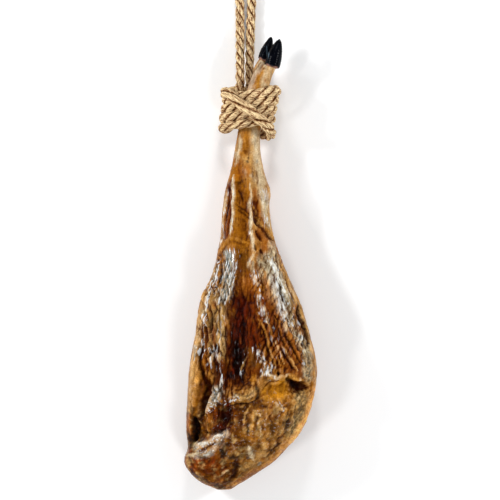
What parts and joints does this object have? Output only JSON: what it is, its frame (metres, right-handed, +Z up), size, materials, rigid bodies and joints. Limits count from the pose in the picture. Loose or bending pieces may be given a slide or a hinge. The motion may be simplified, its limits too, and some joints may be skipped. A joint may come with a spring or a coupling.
{
  "type": "cured ham",
  "caption": "Whole bone-in dry-cured ham with its hoof, lashed round the shank with a doubled hanging rope, lying on its outer side.",
  "frame": {"origin": "on the plane that the ham lies on, below the middle of the ham, the hooves and the lashing; the free rope loop doesn't count", "axes": "+Y from the thigh to the hooves, +X to the right of someone who looks down on the shown side, +Z up out of the shown side"},
  "size_m": [0.2399, 1.0349, 0.1484],
  "materials": {
    "cured_meat": "glossy oily cured fat, skin and lean with dry mouldy patches",
    "hoof": "glossy black horn",
    "rope": "matte three-strand natural fibre rope"
  },
  "bodies": {
    "root": {"ham": "cured_meat", "hoof_near": "hoof", "hoof_far": "hoof", "rope_lashing": "rope", "rope_loop": "rope"}
  },
  "joints": []
}
